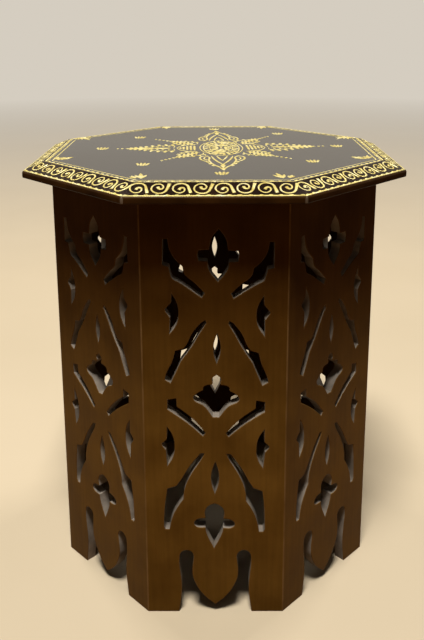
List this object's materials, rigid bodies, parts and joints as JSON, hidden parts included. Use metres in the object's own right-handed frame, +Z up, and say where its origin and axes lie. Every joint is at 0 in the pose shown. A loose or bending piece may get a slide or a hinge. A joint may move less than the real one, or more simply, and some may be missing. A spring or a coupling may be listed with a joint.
{
  "type": "octagonal side table",
  "caption": "Octagonal side table with a bevelled overhanging top on a hollow base of mitred, fretwork-pierced panels standing on sawn feet.",
  "frame": {"origin": "middle of the base on the floor", "axes": "+Z up through the middle of the top; the front panel faces -Y; +X to the right seen from the front"},
  "size_m": [0.394, 0.394, 0.46],
  "materials": {
    "top_lacquer": "black gloss lacquer with gilded ornament",
    "panel_lacquer": "dark brown semi-gloss lacquer",
    "raw_wood": "bare sawn wood",
    "screw_steel": "plain zinc-plated"
  },
  "bodies": {
    "body": {"table_top": "top_lacquer", "side_panel_front": "panel_lacquer", "side_panel_front_right": "panel_lacquer", "side_panel_right": "panel_lacquer", "side_panel_back_right": "panel_lacquer", "side_panel_back": "panel_lacquer", "side_panel_back_left": "panel_lacquer", "side_panel_left": "panel_lacquer", "side_panel_front_left": "panel_lacquer", "corner_block_1": "raw_wood", "corner_block_2": "raw_wood", "corner_block_3": "raw_wood", "corner_block_4": "raw_wood", "corner_block_5": "raw_wood", "corner_block_6": "raw_wood", "corner_block_7": "raw_wood", "corner_block_8": "raw_wood", "top_cleat_front": "raw_wood", "top_cleat_right": "raw_wood", "top_cleat_back": "raw_wood", "top_cleat_left": "raw_wood", "cleat_screws": "screw_steel"}
  },
  "joints": []
}
